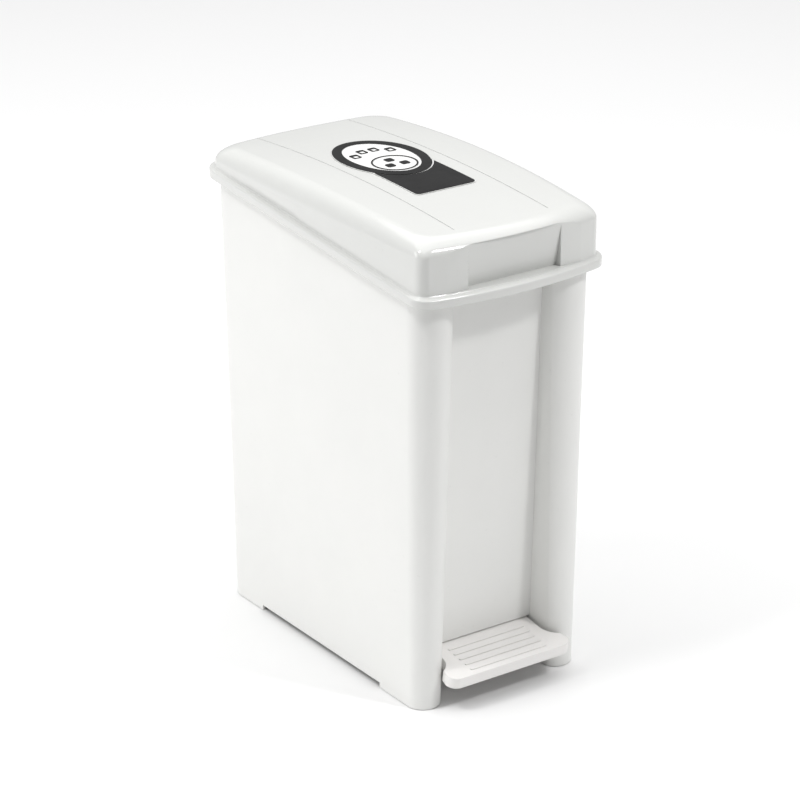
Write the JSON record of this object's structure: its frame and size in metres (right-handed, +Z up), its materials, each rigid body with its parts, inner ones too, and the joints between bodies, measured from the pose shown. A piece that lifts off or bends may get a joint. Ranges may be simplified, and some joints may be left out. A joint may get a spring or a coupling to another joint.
{
  "type": "pedal bin",
  "caption": "Slim pedal bin with a tapered body on two round front columns, a domed hinged lid, a foot pedal with a lift rod, and a removable inner bucket with a wire bail.",
  "frame": {"origin": "middle of the bin's footprint, on the floor it stands on", "axes": "+Z up, +X to the bin's right seen from behind it, -Y towards the pedal and the front of the bin"},
  "size_m": [0.1776, 0.3142, 0.3965],
  "materials": {
    "body_plastic": "white injection moulding with a fine matt grain",
    "lid_plastic": "white, smooth and glossy",
    "pedal_plastic": "white, satin",
    "inner_plastic": "pale grey, satin",
    "fitting_plastic": "pale grey, satin",
    "zinc_steel": "zinc plated",
    "pad_rubber": "dark, matt",
    "label_white": "white printed film",
    "label_black": "black print"
  },
  "bodies": {
    "body": {"body_shell": "body_plastic", "foot_pad_front_left": "pad_rubber", "foot_pad_front_right": "pad_rubber", "foot_pad_rear_left": "pad_rubber", "foot_pad_rear_right": "pad_rubber", "hinge_pin_left": "zinc_steel", "hinge_pin_right": "zinc_steel", "rod_guide_lower": "fitting_plastic", "rod_guide_upper": "fitting_plastic", "pedal_pin": "zinc_steel", "pedal_bracket_left": "fitting_plastic", "pedal_bracket_right": "fitting_plastic", "bracket_screw_1": "zinc_steel", "bracket_screw_2": "zinc_steel", "bracket_screw_3": "zinc_steel", "bracket_screw_4": "zinc_steel", "inner_bucket": "inner_plastic"},
    "lid": {"lid_shell": "lid_plastic", "label_sheet": "label_white", "label_print": "label_black", "lid_crank": "fitting_plastic", "crank_screw_1": "zinc_steel", "crank_screw_2": "zinc_steel"},
    "pedal": {"pedal": "pedal_plastic"},
    "rod": {"lift_rod": "zinc_steel", "rod_cap_upper": "fitting_plastic", "rod_cap_lower": "fitting_plastic"},
    "bail": {"bucket_bail": "zinc_steel", "bail_grip": "fitting_plastic"}
  },
  "joints": [
    {"name": "lid_hinge", "type": "hinge", "parent": "body", "child": "lid", "pos_m": [0, 0.15054, 0.35431], "axis": [-1, 0, 0], "range_deg": [0, 66]},
    {"name": "pedal_pivot", "type": "hinge", "parent": "body", "child": "pedal", "pos_m": [0, -0.05106, 0.028], "axis": [1, 0, 0], "range_deg": [0, 9.58]},
    {"name": "rod_slide", "type": "slide", "parent": "body", "child": "rod", "axis": [0, 0, 1], "range_m": [0, 0.02988]},
    {"name": "bail_hinge", "type": "hinge", "parent": "body", "child": "bail", "pos_m": [0, 0.00894, 0.29], "axis": [-1, 0, 0], "range_deg": [0, 178]}
  ],
  "couplings": [
    {"joint": "pedal_pivot", "follows": "lid_hinge", "ratio": 0.14511},
    {"joint": "rod_slide", "follows": "lid_hinge", "m_per_rad": 0.025933}
  ]
}
